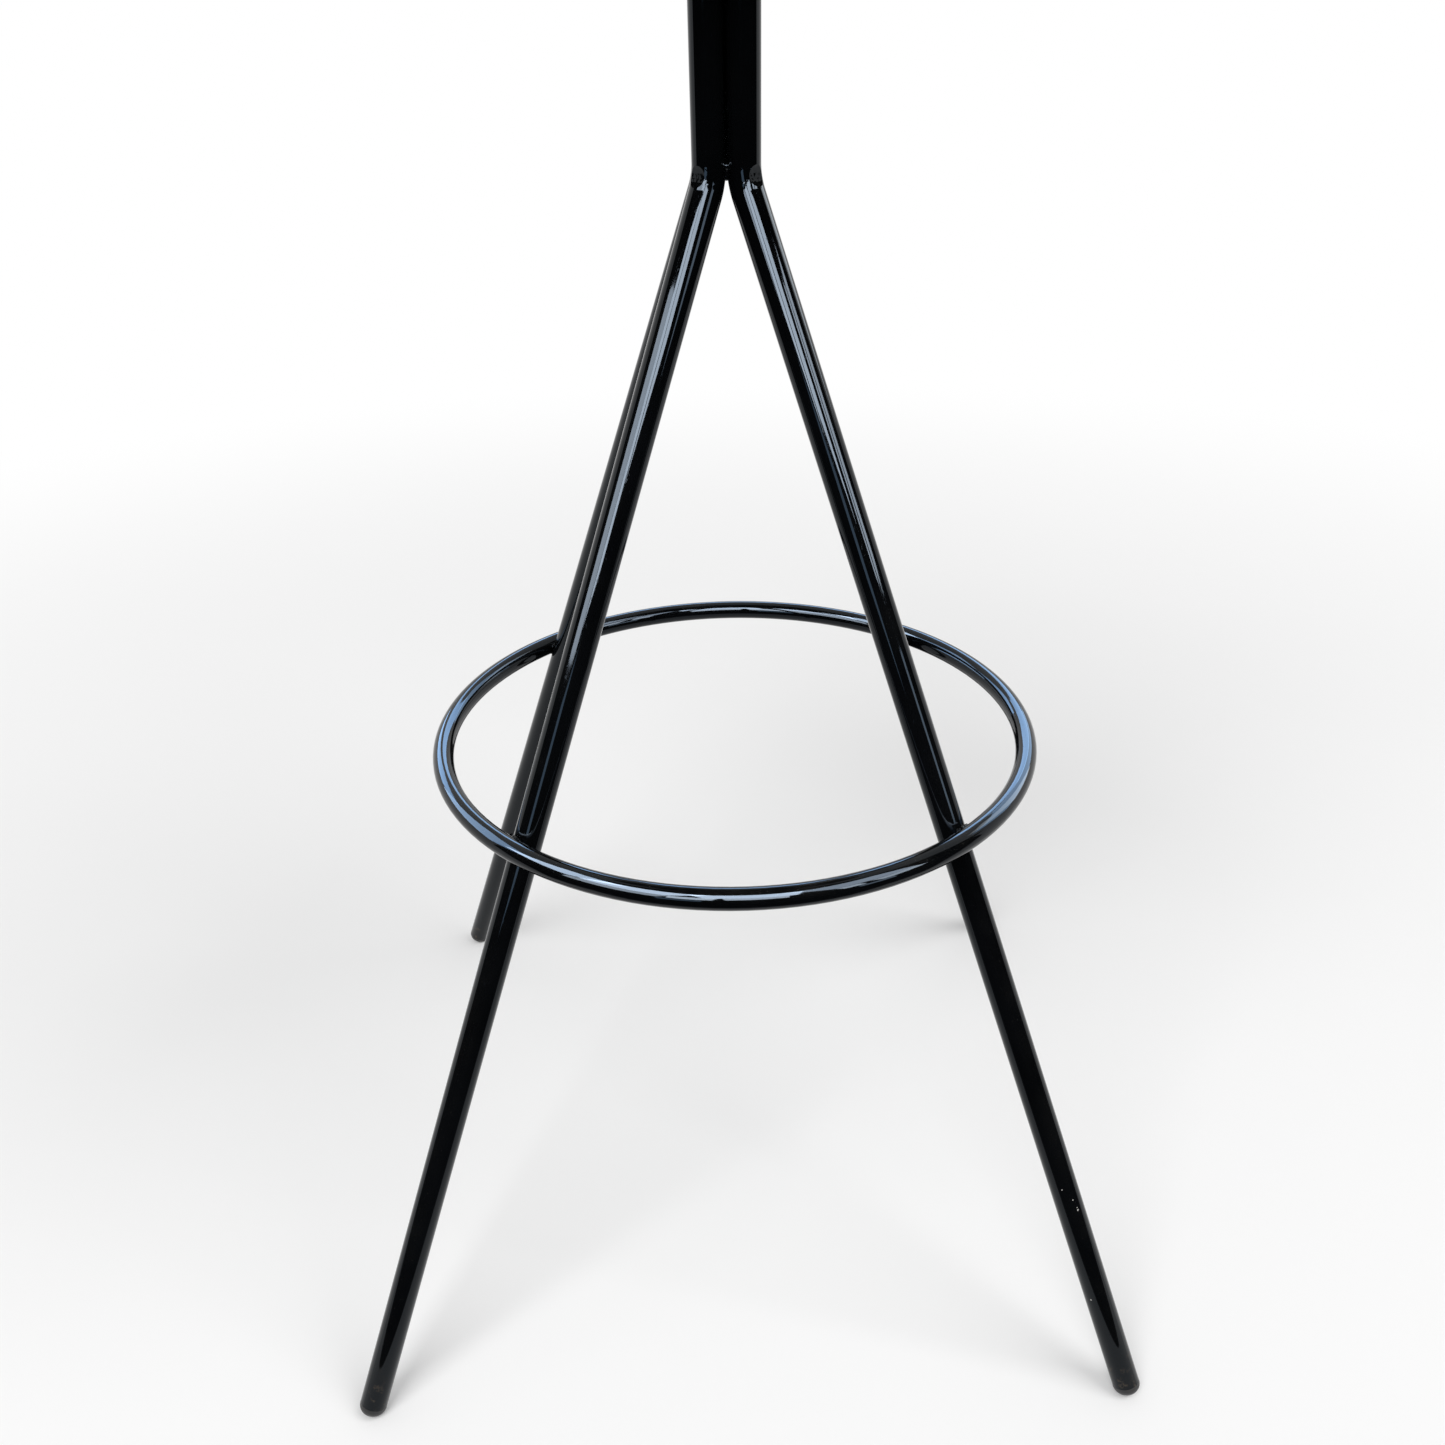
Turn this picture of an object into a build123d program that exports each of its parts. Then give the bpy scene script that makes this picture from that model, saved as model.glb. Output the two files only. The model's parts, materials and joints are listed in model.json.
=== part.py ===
from build123d import *
import os
from math import asin, atan2, cos, degrees, hypot, radians, sin, sqrt, tan

# A bar-height stool on four bent tube legs. Millimetres, +Z up.
# The origin is on the floor, on the column's axis. The front is -Y.

# Legs: one bent steel tube each, gathered into a square column
tube_diameter = 16.0
tube_wall = 1.5
tube_gap = 0.1              # between neighbouring tubes in the column
bend_height = 630.0         # where the straight runs of a leg's axis would meet
bend_radius = 30.0          # of the leg's axis
bend_crush = 1.2            # depth of the flat pressed into the inside of a bend
former_radius = 7.0         # of the roller that left that flat
neck = 92.0                 # from the bend height to the upper ends of the tubes
leg_places = {"front_left": 225, "front_right": 315, "rear_left": 135, "rear_right": 45}

# Foot ring: a round bar bent into a circle, against the outsides of the legs
ring_bar = 12.0
ring_radius = 172.0         # of the bar's centre line
ring_height = 338.0
ring_gap = 0.05             # between ring and leg at their contact

# Welds
weld_gap = 0.08             # between a bead and what it is laid on
weld_bite = 0.25            # share of a bead's width that sinks into each of its two grounds
ring_bead = 5.2             # width of the beads between ring and leg
ring_bead_length = 15.0
ring_bead_count = 4         # of ripples
crotch_bead = 5.6           # width of the beads between neighbouring tubes
crotch_bead_length = 20.0
crotch_bead_count = 5       # of ripples
crotch_bead_drop = 0.4      # share of its length below the bend
ripple_share = 0.08         # depth of the grooves between ripples, of the bead there
plate_fillet = 4.0          # leg length of the fillet under the seat plate

# Foot plugs: domed plastic inserts
plug_collar = 1.5           # straight edge below the tube's end
plug_dome = 6.4             # height of the dome beyond the collar
plug_wear = 0.3             # worn off where the dome stands on the floor
plug_stem = 20.0            # length inside the tube
plug_core = 5.0             # radius of the stem between its fins
plug_bore = 3.4             # radius of the stem's hollow
plug_fins = 4
plug_fin_height = 2.6
plug_clearance = 0.1        # between fins and tube

# Seat plate and its fasteners
plate_diameter = 200.0
plate_thickness = 3.0
plate_edge = 0.8            # rounding of the plate's rim
screw_circle = 160.0        # diameter of the screws' circle
screw_count = 4
screw_diameter = 5.0
screw_length = 13.0         # below the head
screw_head = 10.0
screw_head_height = 3.2
screw_slot = 1.2            # width of the cross recess
washer_diameter = 14.0
washer_thickness = 1.2
hole_clearance = 0.5        # on a fastener's diameter, in plate and washer
pilot_clearance = 0.2       # on a screw's diameter, in the board

# Seat: board, foam, cover and dust cloth
seat_radius = 168.0         # of board and foam
board_thickness = 12.0
board_edge = 2.0
foam_side = 24.0            # height of the foam's upright side
foam_shoulder = 12.0        # radius of its upper edge
foam_crown = 6.0            # rise of the top over the shoulder
cover_thickness = 1.0
cover_gap = 0.3
cover_return = 30.0         # width turned in under the board
dust_thickness = 0.6
dust_margin = 8.0           # from the cloth's edge to the cover's side
dust_plate_gap = 3.0        # from the cloth's hole to the plate

# Worked out from these
tube_radius = tube_diameter / 2
bore_radius = tube_radius - tube_wall
bundle_radius = (tube_diameter + tube_gap) / sqrt(2)
contact = (tube_diameter + ring_bar) / 2 + ring_gap
reach = hypot(ring_radius - bundle_radius, bend_height - ring_height)
lean = atan2(ring_radius - bundle_radius, bend_height - ring_height) - asin(contact / reach)
splay = degrees(lean)
column_top = bend_height + neck
dome_support = hypot(plug_dome * cos(lean), tube_radius * sin(lean))
foot_z = dome_support - plug_wear + plug_collar * cos(lean)
foot_r = bundle_radius + (bend_height - foot_z) * tan(lean)
plate_top = column_top + plate_thickness
board_top = plate_top + board_thickness
screw_hole = screw_diameter + hole_clearance


def leg_body(radius):
    """A filled leg of the given radius, leaning out along +X."""
    path = FilletPolyline(
        (foot_r, 0, foot_z), (bundle_radius, 0, bend_height), (bundle_radius, 0, column_top),
        radius=bend_radius)
    section = Plane(origin=path @ 0, z_dir=path % 0) * Circle(radius)
    return sweep(section, path=path) - former(former_radius + tube_radius - radius)


def former(radius):
    """The bending roller where it pressed into the inside of the bend."""
    centre_x = bundle_radius + bend_radius
    centre_z = bend_height + bend_radius * tan(lean / 2)
    back = bend_radius - tube_radius + bend_crush - former_radius
    spot = Pos(centre_x - back * cos(lean / 2), 0, centre_z - back * sin(lean / 2))
    return spot * Rot(90, 0, 0) * Cylinder(radius, tube_diameter * 2)


def foot_ring(radius):
    return Pos(0, 0, ring_height) * Torus(ring_radius, radius)


def place(shape, name):
    return Rot(0, 0, leg_places[name]) * shape


def bead(length, width, ripples):
    """A weld bead along Z: a row of ripples, with rounded ends."""
    half = length / 2
    profile = [(0, -half)]
    for i in range(1, ripples * 2):
        height = i * half / ripples - half
        girth = width / 2 * sqrt(1 - (height / half)**2)
        profile.append((girth if i % 2 else girth * (1 - ripple_share), height))
    profile.append((0, half))
    outline = Spline(*profile, tangents=((1, 0), (-1, 0)))
    return revolve(Plane.XZ * make_face([outline, Line((0, half), (0, -half))]), axis=Axis.Z)


def ring_weld():
    """Beads along the ring, above and below the leg that leans out along +X."""
    away = tube_radius + ring_bead * (0.5 - weld_bite)
    touch = ring_bar / 2 + ring_bead * (0.5 - weld_bite)
    rise = sqrt(touch**2 - (contact - away)**2)
    base_r = ring_radius - contact * cos(lean)
    base_z = ring_height - contact * sin(lean)
    turned = Rot(90, 0, 0) * Rot(0, 0, 180 + splay)           # its seam faces into the leg
    beads = None
    for side in (rise, -rise):
        spot_r = base_r + away * cos(lean) - side * sin(lean)
        spot_z = base_z + away * sin(lean) + side * cos(lean)
        laid = Pos(spot_r, 0, spot_z) * turned * bead(ring_bead_length, ring_bead, ring_bead_count)
        beads = laid if beads is None else beads + laid
    return beads - leg_body(tube_radius + weld_gap) - foot_ring(ring_bar / 2 + weld_gap)


def crotch_weld():
    """A bead down the groove at +X, between the tubes at 45 degrees either side."""
    hug = tube_radius + crotch_bead * (0.5 - weld_bite)
    side = bundle_radius / sqrt(2)
    groove = side + sqrt(hug**2 - side**2)
    height = bend_height + crotch_bead_length * (0.5 - crotch_bead_drop)
    into_tube = degrees(atan2(side, side - groove))           # where its seam faces
    run = bead(crotch_bead_length, crotch_bead, crotch_bead_count)
    laid = Pos(groove, 0, height) * Rot(0, 0, into_tube) * run
    for turn in (45, -45):
        laid -= Rot(0, 0, turn) * leg_body(tube_radius + weld_gap)
    return laid


def plate_weld():
    """Fillets round the four tubes, joined under the plate."""
    fillets = None
    tubes = None
    for angle in leg_places.values():
        spot = Rot(0, 0, angle) * Pos(bundle_radius, 0, column_top - plate_fillet / 2)
        cone = spot * Cone(tube_radius, tube_radius + plate_fillet, plate_fillet)
        tube = spot * Cylinder(tube_radius + weld_gap, plate_fillet * 2)
        fillets = cone if fillets is None else fillets + cone
        tubes = tube if tubes is None else tubes + tube
    middle = Pos(0, 0, column_top) * Box(tube_diameter, tube_diameter, plate_fillet * 4)
    return fillets - tubes - middle


def foot_plug():
    """A domed plug in the end of the leg that leans out along +X."""
    fin_radius = bore_radius - plug_clearance
    pitch = plug_stem / (plug_fins + 1)
    points = [(plug_bore, plug_stem), (plug_core, plug_stem)]
    for i in range(plug_fins, 0, -1):
        top = pitch * i + plug_fin_height / 2
        low = top - plug_fin_height
        points += [(plug_core, top), (fin_radius, low), (plug_core, low)]
    points += [(plug_core, 0), (tube_radius, 0), (tube_radius, -plug_collar)]
    outline = Polyline(*points)
    dome = EllipticalCenterArc((0, -plug_collar), tube_radius, plug_dome, start_angle=270, arc_size=90)
    rest = Polyline((0, -plug_collar - plug_dome), (0, 0), (plug_bore, 0), (plug_bore, plug_stem))
    section = make_face([*outline.edges(), *dome.edges(), *rest.edges()])
    plug = revolve(Plane.XZ * section, axis=Axis.Z)
    plug = Pos(foot_r, 0, foot_z) * Rot(0, -splay, 0) * plug
    floor = Pos(foot_r, 0, -plug_stem) * Box(plug_stem * 4, plug_stem * 4, plug_stem * 2)
    return plug - floor


def screw_spots(height):
    """Where the seat screws stand, between the legs' directions."""
    first = Pos(screw_circle / 2, 0, height)
    return [Rot(0, 0, 360 * i / screw_count) * first for i in range(screw_count)]


def seat_plate():
    plate = Pos(0, 0, column_top + plate_thickness / 2) * Cylinder(plate_diameter / 2, plate_thickness)
    plate = fillet(plate.edges().group_by(Axis.Z)[0], plate_edge)
    for spot in screw_spots(column_top):
        plate -= spot * Cylinder(screw_hole / 2, plate_thickness * 4)
    return plate


def seat_board():
    board = Pos(0, 0, plate_top + board_thickness / 2) * Cylinder(seat_radius, board_thickness)
    board = fillet(board.edges().group_by(Axis.Z)[0], board_edge)
    deep = screw_length - plate_thickness - washer_thickness + 1
    for spot in screw_spots(plate_top + deep / 2):
        board -= spot * Cylinder((screw_diameter + pilot_clearance) / 2, deep)
    return board


def seat_screws():
    """Pan-head screws, driven up through washer and plate."""
    seat = column_top - washer_thickness
    screws = []
    for spot in screw_spots(seat):
        head = Pos(0, 0, -screw_head_height / 2) * Cylinder(screw_head / 2, screw_head_height)
        head = fillet(head.edges().group_by(Axis.Z)[0], screw_head_height * 0.6)
        recess = Box(screw_head / 2, screw_slot, screw_head_height)
        recess += Box(screw_slot, screw_head / 2, screw_head_height)
        head -= Pos(0, 0, -screw_head_height) * recess
        shank = Pos(0, 0, screw_length / 2) * Cylinder(screw_diameter / 2, screw_length)
        shank = chamfer(shank.edges().group_by(Axis.Z)[-1], screw_diameter / 4)
        screws.append(spot * (head + shank))
    return Compound(children=screws)


def seat_washers():
    washer = Cylinder(washer_diameter / 2, washer_thickness)
    washer -= Cylinder(screw_hole / 2, washer_thickness * 2)
    spots = screw_spots(column_top - washer_thickness / 2)
    return Compound(children=[spot * washer for spot in spots])


def pad_outline(base):
    """Half the section of the seat from a base height to its crowned top."""
    shoulder = board_top + foam_side
    inner = seat_radius - foam_shoulder
    top = shoulder + foam_shoulder
    elbow = (inner + foam_shoulder * sin(radians(45)), shoulder + foam_shoulder * cos(radians(45)))
    crown_radius = (inner**2 + foam_crown**2) / (2 * foam_crown)
    half = asin(inner / crown_radius) / 2
    middle = (crown_radius * sin(half), top + foam_crown - crown_radius * (1 - cos(half)))
    edges = [
        Line((0, base), (seat_radius, base)),
        Line((seat_radius, base), (seat_radius, shoulder)),
        ThreePointArc((seat_radius, shoulder), elbow, (inner, top)),
        ThreePointArc((inner, top), middle, (0, top + foam_crown)),
        Line((0, top + foam_crown), (0, base))]
    return make_face(edges)


def seat_foam():
    return revolve(Plane.XZ * pad_outline(board_top), axis=Axis.Z)


def seat_cover():
    """Vinyl over the foam and round the board, turned in under it."""
    outline = pad_outline(plate_top)
    skin = offset(outline, cover_gap + cover_thickness) - offset(outline, cover_gap)
    span = seat_radius * 2
    skin &= Pos(span / 2, board_top) * Rectangle(span, span)
    opening = seat_radius - cover_return
    skin -= Pos(opening / 2, plate_top - board_thickness / 2) * Rectangle(opening, board_thickness)
    return revolve(Plane.XZ * skin, axis=Axis.Z)


def dust_cover():
    top = plate_top - cover_gap * 2 - cover_thickness
    cloth = Cylinder(seat_radius - dust_margin, dust_thickness)
    cloth -= Cylinder(plate_diameter / 2 + dust_plate_gap, dust_thickness * 2)
    return Pos(0, 0, top - dust_thickness / 2) * cloth


def write(shape, name):
    export_step(shape, f"parts/{name}.step")


os.makedirs("parts", exist_ok=True)
leg = leg_body(tube_radius) - leg_body(bore_radius)
weld = ring_weld()
plug = foot_plug()
crotch = crotch_weld()
for name in leg_places:
    write(place(leg, name), f"leg_{name}")
    write(place(weld, name), f"ring_weld_{name}")
    write(place(plug, name), f"plug_{name}")
for name, angle in {"front": 270, "right": 0, "rear": 90, "left": 180}.items():
    write(Rot(0, 0, angle) * crotch, f"crotch_weld_{name}")
write(foot_ring(ring_bar / 2), "foot_ring")
write(plate_weld(), "plate_weld")
write(seat_plate(), "seat_plate")
write(seat_board(), "seat_board")
write(seat_screws(), "seat_screws")
write(seat_washers(), "seat_washers")
write(seat_foam(), "seat_foam")
write(seat_cover(), "seat_cover")
write(dust_cover(), "dust_cover")
print(f"splay {splay:.2f} deg, feet at radius {foot_r:.1f}, tube ends at height {foot_z:.1f}")
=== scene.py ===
import json
from math import atan2, cos, exp, hypot, pi, radians, sin, tan

import bpy
from mathutils import Matrix, Vector

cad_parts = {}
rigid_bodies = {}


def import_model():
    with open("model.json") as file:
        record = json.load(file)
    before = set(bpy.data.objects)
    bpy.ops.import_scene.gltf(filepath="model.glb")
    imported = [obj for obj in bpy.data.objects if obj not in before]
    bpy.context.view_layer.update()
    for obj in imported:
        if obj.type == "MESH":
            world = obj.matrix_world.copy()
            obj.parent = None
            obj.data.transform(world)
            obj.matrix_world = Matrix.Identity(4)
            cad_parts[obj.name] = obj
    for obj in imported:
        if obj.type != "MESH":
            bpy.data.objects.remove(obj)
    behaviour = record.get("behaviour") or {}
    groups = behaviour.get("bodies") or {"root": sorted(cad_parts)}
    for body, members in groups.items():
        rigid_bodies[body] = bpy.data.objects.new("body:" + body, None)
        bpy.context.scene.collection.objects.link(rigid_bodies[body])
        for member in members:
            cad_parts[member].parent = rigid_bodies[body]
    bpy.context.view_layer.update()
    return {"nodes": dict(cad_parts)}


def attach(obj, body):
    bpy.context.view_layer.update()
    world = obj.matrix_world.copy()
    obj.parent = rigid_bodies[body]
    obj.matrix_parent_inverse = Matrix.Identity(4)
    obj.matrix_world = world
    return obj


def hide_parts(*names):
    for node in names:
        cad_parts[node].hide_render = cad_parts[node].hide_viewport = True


# Bar-height stool: four bent tubes, a foot ring and a round padded seat.
# Metres, +Z up, origin on the floor under the column, front towards -Y.

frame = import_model()
nodes = frame["nodes"]
print("frame loaded:", len(nodes), "nodes")


# selecting, shaping and joining, used for every piece

def backToObject():
    bpy.ops.object.mode_set(mode="OBJECT")


def editMode():
    bpy.ops.object.mode_set(mode="EDIT")


def deselectAll():
    if bpy.context.mode != "OBJECT":
        backToObject()
    bpy.ops.object.select_all(action="DESELECT")


def pickOnly(piece):
    deselectAll()
    piece.select_set(True)
    bpy.context.view_layer.objects.active = piece


def fresh(add, name, scale=(1, 1, 1), **settings):
    # a new primitive, with its place and size put into its mesh
    deselectAll()
    add(**settings)
    piece = bpy.context.object
    piece.name = piece.data.name = name
    piece.scale = scale
    pickOnly(piece)
    bpy.ops.object.transform_apply(location=True, rotation=True, scale=True)
    return piece


def startPicking(piece, kind):
    pickOnly(piece)
    editMode()
    bpy.ops.mesh.select_mode(type=kind)
    bpy.ops.mesh.select_all(action="DESELECT")
    backToObject()


def pickFaces(piece, test):
    # leaves the piece in edit mode with the faces that pass the test selected
    startPicking(piece, "FACE")
    for face in piece.data.polygons:
        face.select = test(face.center, face.normal)
    editMode()


def pickEdges(piece, test):
    # the same for edges, which are tested by their two ends
    startPicking(piece, "EDGE")
    spots = piece.data.vertices
    for edge in piece.data.edges:
        edge.select = test(spots[edge.vertices[0]].co, spots[edge.vertices[1]].co)
    editMode()


def applyModifier(piece, kind, **settings):
    pickOnly(piece)
    modifier = piece.modifiers.new(kind.title(), kind)
    for key, value in settings.items():
        setattr(modifier, key, value)
    bpy.ops.object.modifier_apply(modifier=modifier.name)


def facesOutward(piece, weld=0.00002):
    pickOnly(piece)
    editMode()
    bpy.ops.mesh.select_all(action="SELECT")
    bpy.ops.mesh.remove_doubles(threshold=weld)
    bpy.ops.mesh.normals_make_consistent(inside=False)
    backToObject()


def smooth(piece, angle=60):
    pickOnly(piece)
    bpy.ops.object.shade_smooth_by_angle(angle=radians(angle))


def copyOf(piece, name):
    twin = piece.copy()
    twin.data = piece.data.copy()
    twin.name = name
    bpy.context.scene.collection.objects.link(twin)
    return twin


def joinAll(pieces, name):
    deselectAll()
    for piece in pieces:
        piece.select_set(True)
    bpy.context.view_layer.objects.active = pieces[0]
    bpy.ops.object.join()
    joined = bpy.context.view_layer.objects.active
    joined.name = joined.data.name = name
    return joined


def finish(piece, material, body="root"):
    piece.data.materials.clear()
    piece.data.materials.append(material)
    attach(piece, body)


def ringPlace(spot):
    return hypot(spot.co.x, spot.co.y), atan2(spot.co.y, spot.co.x)


def onRing(angle, radius, height):
    return Vector((cos(angle) * radius, sin(angle) * radius, height))


# nodes: a value that is an output is linked, any other is set

def feed(tree, socket, value):
    if isinstance(value, bpy.types.NodeSocket):
        tree.links.new(value, socket)
    else:
        socket.default_value = value


def addNode(tree, kind, **sockets):
    made = tree.nodes.new("ShaderNode" + kind)
    for key, value in sockets.items():
        feed(tree, made.inputs[key.replace("_", " ")], value)
    return made


def mathNode(tree, operation, first, second=0.0, clamp=False):
    made = tree.nodes.new("ShaderNodeMath")
    made.operation = operation
    made.use_clamp = clamp
    feed(tree, made.inputs[0], first)
    feed(tree, made.inputs[1], second)
    return made.outputs[0]


def times(tree, first, second, clamp=False):
    return mathNode(tree, "MULTIPLY", first, second, clamp)


def plus(tree, first, second, clamp=False):
    return mathNode(tree, "ADD", first, second, clamp)


def vectorNode(tree, operation, *values):
    made = tree.nodes.new("ShaderNodeVectorMath")
    made.operation = operation
    for socket, value in zip(made.inputs, values):
        feed(tree, socket, value)
    return made


def rangeNode(tree, value, low, high, toLow=0.0, toHigh=1.0):
    made = addNode(tree, "MapRange", Value=value, From_Min=low, From_Max=high, To_Min=toLow, To_Max=toHigh)
    made.interpolation_type = "SMOOTHSTEP"
    return made.outputs["Result"]


def noiseNode(tree, vector, scale, detail, roughness):
    made = addNode(tree, "TexNoise", Vector=vector, Scale=scale, Detail=detail, Roughness=roughness)
    return made.outputs["Fac"]


def patches(tree, vector, noise, edge):
    # noise is its scale, detail and roughness; edge is where a patch starts and where it is full
    return rangeNode(tree, noiseNode(tree, vector, *noise), *edge)


def mixColour(tree, mask, first, second):
    made = tree.nodes.new("ShaderNodeMix")
    made.data_type = "RGBA"
    for place, value in ((0, mask), (6, first), (7, second)):
        feed(tree, made.inputs[place], value)
    return made.outputs[2]


# effects that several finishes use

def newGroup(name, result, **inputs):
    # an input with no value is a vector, and the others and the result are plain numbers
    tree = bpy.data.node_groups.new(name, "ShaderNodeTree")
    for label, value in inputs.items():
        kind = "NodeSocketVector" if value is None else "NodeSocketFloat"
        socket = tree.interface.new_socket(name=label, in_out="INPUT", socket_type=kind)
        if value is not None:
            socket.default_value = value
    tree.interface.new_socket(name=result, in_out="OUTPUT", socket_type="NodeSocketFloat")
    return tree, tree.nodes.new("NodeGroupInput").outputs, tree.nodes.new("NodeGroupOutput")


peelLook = {
    "wave": (2.0, 0.4),  # detail and roughness
    "skin": (2.0, 0.5),
    "finer": 6.0,  # how much finer the skin is than the wave
}


def orangePeelGroup():
    # the slow wave of a sprayed or dipped coat, with a finer skin on it
    tree, given, put = newGroup("orangePeel", "Height", Vector=None, Size=180.0, Fine=0.25)
    slow = noiseNode(tree, given["Vector"], given["Size"], *peelLook["wave"])
    finer = times(tree, given["Size"], peelLook["finer"])
    skin = noiseNode(tree, given["Vector"], finer, *peelLook["skin"])
    skin = times(tree, skin, given["Fine"])
    tree.links.new(plus(tree, slow, skin), put.inputs[0])
    return tree


dustSpread = {
    "facing": (0.1, 0.95),  # how far up a face looks where dust starts and is full
    "cloud": (38.0, 5.0, 0.6),
    "cloudEdge": (0.35, 0.75),
    "grit": (1400.0, 1.0, 0.4),
    "gritEdge": (0.71, 0.78),
}


def settledDustGroup():
    # dust lies where the surface faces up, in an uneven film with specks
    tree, given, put = newGroup("settledDust", "Mask", Vector=None, Normal=None, Amount=0.2, Specks=0.3)
    axes = addNode(tree, "SeparateXYZ", Vector=given["Normal"])
    facing = rangeNode(tree, axes.outputs["Z"], *dustSpread["facing"])
    cloud = patches(tree, given["Vector"], dustSpread["cloud"], dustSpread["cloudEdge"])
    film = times(tree, times(tree, facing, cloud), given["Amount"])
    grit = patches(tree, given["Vector"], dustSpread["grit"], dustSpread["gritEdge"])
    grit = times(tree, times(tree, grit, given["Specks"]), facing)
    tree.links.new(plus(tree, film, grit, True), put.inputs[0])
    return tree


handlingLook = {
    "smears": (22.0, 6.0, 0.65),
    "smearEdge": (0.45, 0.8),
    "rubs": (1.0, 1.0, 0.3),
    "rubEdge": (0.7, 0.78),
    "rubTurn": (0.5, 0.3, 0.8),
    "rubStretch": (900.0, 900.0, 26.0),
}


def handlingGroup():
    # faint smears and hairline rubs that only change how the gloss breaks
    tree, given, put = newGroup("handling", "Value", Vector=None, Smears=0.1, Rubs=0.1)
    wide = patches(tree, given["Vector"], handlingLook["smears"], handlingLook["smearEdge"])
    wide = times(tree, wide, given["Smears"])
    stretch = addNode(tree, "Mapping", Vector=given["Vector"],
                      Rotation=handlingLook["rubTurn"], Scale=handlingLook["rubStretch"])
    lines = patches(tree, stretch.outputs["Vector"], handlingLook["rubs"], handlingLook["rubEdge"])
    lines = times(tree, lines, given["Rubs"])
    tree.links.new(plus(tree, wide, lines), put.inputs[0])
    return tree


chipLook = {"ragged": (900.0, 3.0, 0.6), "rim": 1.25}


def chippedSpotGroup():
    # one ragged chip round a given place
    tree, given, put = newGroup("chippedSpot", "Mask", Vector=None, Place=None, Size=0.001)
    away = vectorNode(tree, "DISTANCE", given["Vector"], given["Place"])
    ragged = noiseNode(tree, given["Vector"], *chipLook["ragged"])
    ragged = times(tree, ragged, given["Size"])
    reach = plus(tree, away.outputs["Value"], ragged)
    outer = times(tree, given["Size"], chipLook["rim"])
    tree.links.new(rangeNode(tree, reach, given["Size"], outer, 1.0, 0.0), put.inputs[0])
    return tree


orangePeel = orangePeelGroup()
settledDust = settledDustGroup()
handling = handlingGroup()
chippedSpot = chippedSpotGroup()
print("shader groups made")


# finishes

def newMaterial(name):
    material = bpy.data.materials.new(name)
    material.use_nodes = True
    tree = material.node_tree
    shader = tree.nodes["Principled BSDF"]
    return material, tree, shader, tree.nodes.new("ShaderNodeTexCoord").outputs["Object"]


def useGroup(tree, group, **sockets):
    made = tree.nodes.new("ShaderNodeGroup")
    made.node_tree = group
    for key, value in sockets.items():
        feed(tree, made.inputs[key], value)
    return made.outputs[0]


def dusty(tree, place, colour, look):
    # dust on a colour; gives the new colour and the dust's mask
    turn = tree.nodes.new("ShaderNodeNewGeometry").outputs["Normal"]
    dust = useGroup(tree, settledDust, Vector=place, Normal=turn, Amount=look["film"], Specks=look["specks"])
    return mixColour(tree, dust, colour, look["dust"]), dust


def setShader(tree, shader, colour, rough, **plain):
    feed(tree, shader.inputs["Base Color"], colour)
    feed(tree, shader.inputs["Roughness"], rough)
    for key, value in plain.items():
        shader.inputs[key.replace("_", " ")].default_value = value


def bumpInto(tree, shader, height, strength, distance):
    bump = addNode(tree, "Bump", Strength=strength, Distance=distance, Height=height)
    tree.links.new(bump.outputs["Normal"], shader.inputs["Normal"])


enamelLook = {
    "black": (0.0011, 0.0013, 0.0016, 1.0),
    "thin": (0.0024, 0.0028, 0.0034, 1.0),
    "cloud": (9.0, 4.0, 0.6),
    "cloudEdge": (0.3, 0.75),
    "dust": (0.16, 0.15, 0.13, 1.0),
    "film": 0.03,
    "specks": 0.22,
    "primer": (0.34, 0.33, 0.31, 1.0),
    "dirt": (0.075, 0.055, 0.036, 1.0),
    "dirtFade": (0.008, 0.045),  # heights between which it thins out on the legs
    "caked": (120.0, 5.0, 0.7),
    "cakedEdge": (0.54, 0.7),
    "dirtAmount": 0.7,
    "smears": 0.05,
    "rubs": 0.12,
    "gloss": 0.035,  # roughness of the clean coat
    "dirtDull": 0.6,
    "chipDull": 0.5,
    "ior": 1.3,
    # painted sky-blue reflection: this tint turns all the enamel's reflections blue, standing in for blue sky
    # light
    "sheen": (0.8, 0.9, 1.0, 1.0),
    # creases inside the bends: from the column's middle outwards, then up
    "creaseOut": (0.016, 0.0185),
    "creaseUp": ((0.627, 0.629, 0.0, 1.0), (0.6365, 0.6405, 1.0, 0.0)),
    "crease": (330.0, 2.0, 0.5),
    "creaseDepth": 40.0,
    "peelSize": 70.0,
    "peelFine": 0.02,
    "bump": (0.03, 0.0006),
}


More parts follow.
